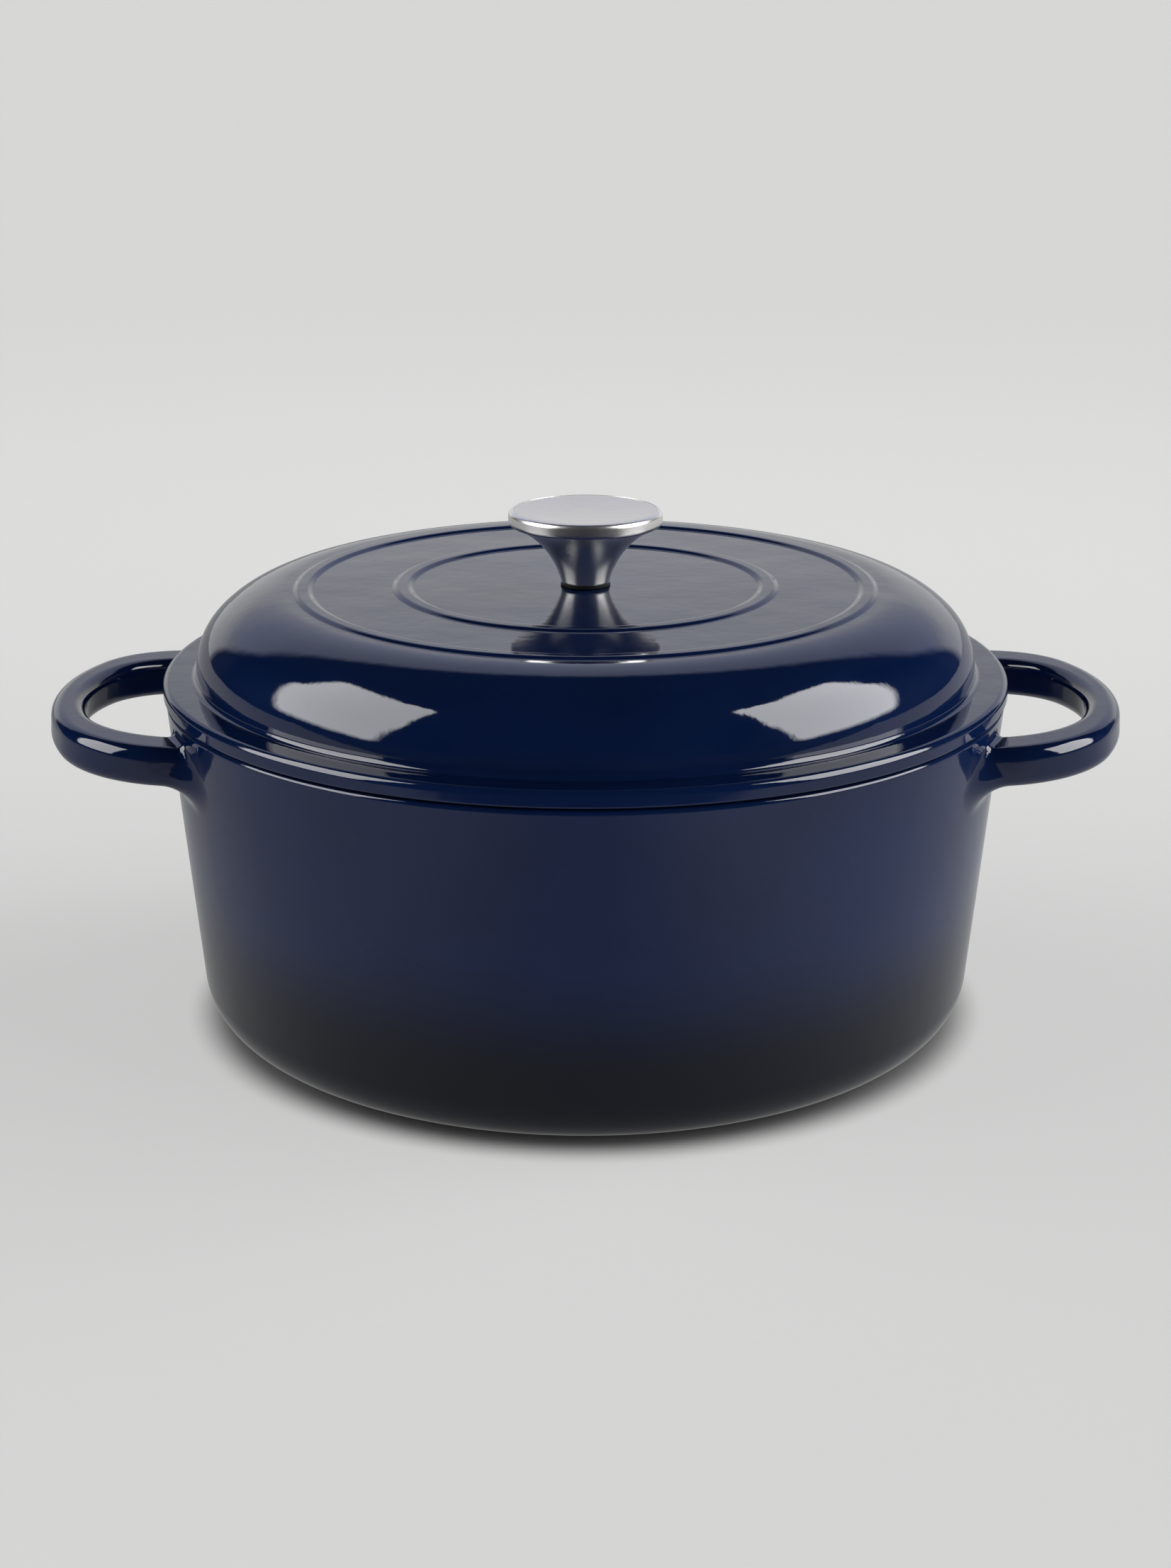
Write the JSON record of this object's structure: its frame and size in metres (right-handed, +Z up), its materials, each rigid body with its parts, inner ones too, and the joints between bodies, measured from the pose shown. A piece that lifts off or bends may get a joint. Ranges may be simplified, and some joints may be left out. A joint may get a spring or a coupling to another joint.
{
  "type": "round dutch oven",
  "caption": "Round enamelled cast iron dutch oven with side loop handles and a domed lid that has raised rings and a flared steel knob.",
  "frame": {"origin": "centre of the base, on the table", "axes": "+Z up, +X from one loop handle to the other"},
  "size_m": [0.3438, 0.27, 0.1649],
  "materials": {
    "navy_enamel": "glossy navy enamel outside, cream enamel inside",
    "knob_steel": "brushed cap, polished rim",
    "plain_steel": "plain bright steel",
    "black_rubber": "matte"
  },
  "bodies": {
    "pot": {"pot": "navy_enamel"},
    "lid_carrier": {"flat_washer": "plain_steel"},
    "lid": {"lid": "navy_enamel", "knob_body": "knob_steel", "knob_cap": "knob_steel", "knob_insert": "plain_steel", "knob_gasket": "black_rubber", "knob_screw": "plain_steel", "spring_washer": "plain_steel"}
  },
  "joints": [
    {"name": "lid_lift", "type": "slide", "parent": "pot", "child": "lid_carrier", "axis": [0, 0, 1], "range_m": [0, 0.18]},
    {"name": "lid_turn", "type": "hinge", "parent": "lid_carrier", "child": "lid", "pos_m": [0, 0, 0.135], "axis": [0, 0, 1], "continuous": true}
  ]
}
